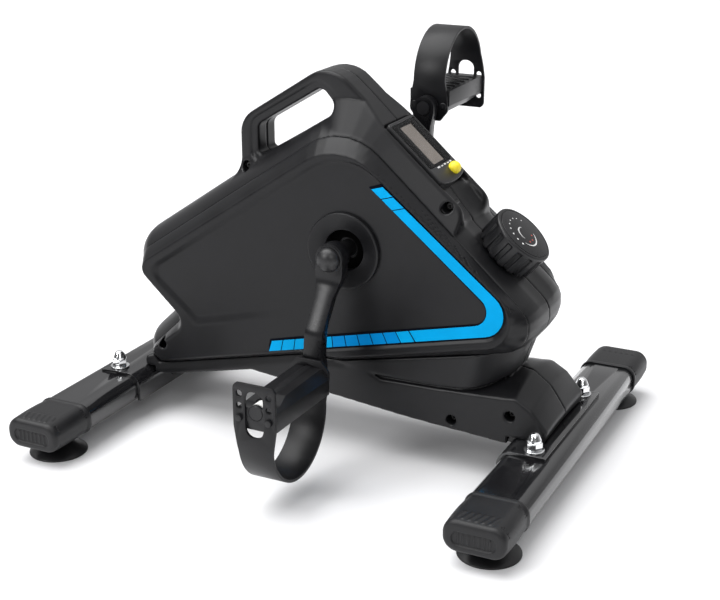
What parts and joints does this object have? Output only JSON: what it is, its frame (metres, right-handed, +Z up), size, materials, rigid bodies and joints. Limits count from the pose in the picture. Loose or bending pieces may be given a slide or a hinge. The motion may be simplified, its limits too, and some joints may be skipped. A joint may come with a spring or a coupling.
{
  "type": "pedal exerciser",
  "caption": "Compact desk or floor pedal exerciser: dark casing with a carry handle, blue accent, small display, tension knob, strapped pedals and wide feet.",
  "frame": {"origin": "on the floor, midway between the two stabilisers and on the mid-plane between the left and right casing halves", "axes": "+Z up; +X towards the tension knob and display end, away from the carry handle; +Y to the right side, so the left side is at -Y and both axles run along Y"},
  "size_m": [0.454, 0.3934, 0.3407],
  "materials": {
    "gloss_black_paint": "gloss",
    "frame_paint": "satin",
    "chrome_plate": "polished",
    "plain_steel": "brushed",
    "zinc_steel": "satin",
    "cast_iron": "machined",
    "aluminium": "machined",
    "magnet_nickel": "satin",
    "belt_rubber": "matte",
    "foot_rubber": "matte",
    "cap_plastic": "fine grain",
    "body_plastic": "satin, fine grain",
    "cover_plastic": "satin, fine grain",
    "stripe_blue": "gloss",
    "console_plastic": "satin",
    "clear_lens": "clear, printed border",
    "display_glass": "semi gloss",
    "circuit_board": "satin",
    "battery_can": "satin",
    "button_yellow": "satin",
    "pedal_plastic": "satin",
    "strap_rubber": "satin",
    "white_nylon": "natural",
    "gloss_cap": "gloss",
    "knob_plastic": "satin",
    "dial_plastic": "semi gloss, printed marks",
    "black_screw": "black oxide"
  },
  "bodies": {
    "base": {"front_stabilizer": "gloss_black_paint", "rear_stabilizer": "gloss_black_paint", "front_saddle": "gloss_black_paint", "rear_saddle": "gloss_black_paint", "front_left_end_cap": "cap_plastic", "front_right_end_cap": "cap_plastic", "rear_left_end_cap": "cap_plastic", "rear_right_end_cap": "cap_plastic", "suction_feet": "foot_rubber", "carriage_bolts": "plain_steel", "flat_washers": "chrome_plate", "acorn_nuts": "chrome_plate", "main_frame": "frame_paint", "crank_bearings": "plain_steel", "flywheel_bearings": "plain_steel", "drive_belt": "belt_rubber", "bracket_pin": "plain_steel", "bracket_spring": "plain_steel", "speed_sensor": "cap_plastic", "left_shell": "body_plastic", "right_shell": "body_plastic", "casing_screws": "black_screw", "left_side_cover": "cover_plastic", "right_side_cover": "cover_plastic", "left_accent_stripe": "stripe_blue", "right_accent_stripe": "stripe_blue", "left_hub_cover": "cover_plastic", "right_hub_cover": "cover_plastic", "console_case": "console_plastic", "console_lens": "clear_lens", "lcd_module": "display_glass", "console_board": "circuit_board", "console_battery": "battery_can", "knob_bushing": "white_nylon"},
    "crank": {"crank_axle": "plain_steel", "drive_pulley": "cap_plastic", "sensor_magnet": "magnet_nickel", "left_crank": "gloss_black_paint", "right_crank": "gloss_black_paint", "crank_bolts": "zinc_steel", "crank_caps": "gloss_cap", "pedal_spindles": "plain_steel"},
    "left_pedal": {"left_pedal_body": "pedal_plastic", "left_pedal_bushes": "white_nylon", "left_pedal_strap": "strap_rubber", "left_strap_rivets": "pedal_plastic"},
    "right_pedal": {"right_pedal_body": "pedal_plastic", "right_pedal_bushes": "white_nylon", "right_pedal_strap": "strap_rubber", "right_strap_rivets": "pedal_plastic"},
    "flywheel": {"flywheel": "cast_iron", "flywheel_axle": "plain_steel", "flywheel_pulley": "aluminium"},
    "knob": {"tension_knob": "knob_plastic", "knob_dial_cap": "dial_plastic", "knob_spindle": "white_nylon"},
    "bracket": {"magnet_bracket": "zinc_steel", "magnets": "magnet_nickel", "tension_cable": "plain_steel"},
    "button": {"mode_button": "button_yellow"}
  },
  "joints": [
    {"name": "crank_spin", "type": "hinge", "parent": "base", "child": "crank", "pos_m": [0.026, 0, 0.184], "axis": [0, 1, 0], "continuous": true},
    {"name": "left_pedal_spin", "type": "hinge", "parent": "crank", "child": "left_pedal", "pos_m": [0.01992, -0.145, 0.0925], "axis": [0, 1, 0], "continuous": true},
    {"name": "right_pedal_spin", "type": "hinge", "parent": "crank", "child": "right_pedal", "pos_m": [0.03208, 0.145, 0.2755], "axis": [0, 1, 0], "continuous": true},
    {"name": "flywheel_spin", "type": "hinge", "parent": "base", "child": "flywheel", "pos_m": [0.116, 0, 0.128], "axis": [0, 1, 0], "continuous": true},
    {"name": "knob_turn", "type": "hinge", "parent": "base", "child": "knob", "pos_m": [0.14731, 0, 0.18441], "axis": [0.6639, 0, 0.7478], "range_deg": [0, 270]},
    {"name": "bracket_swing", "type": "hinge", "parent": "base", "child": "bracket", "pos_m": [0.147, 0, 0.084], "axis": [0, -1, 0], "range_deg": [0, 3.5]},
    {"name": "mode_button_press", "type": "slide", "parent": "base", "child": "button", "axis": [-0.6639, 0, -0.7478], "range_m": [0, 0.001], "stiffness_N_per_m": 800, "springref_m": -0.0005}
  ],
  "couplings": [
    {"joint": "flywheel_spin", "follows": "crank_spin", "ratio": 4.8},
    {"joint": "bracket_swing", "follows": "knob_turn", "ratio": 0.01296}
  ]
}
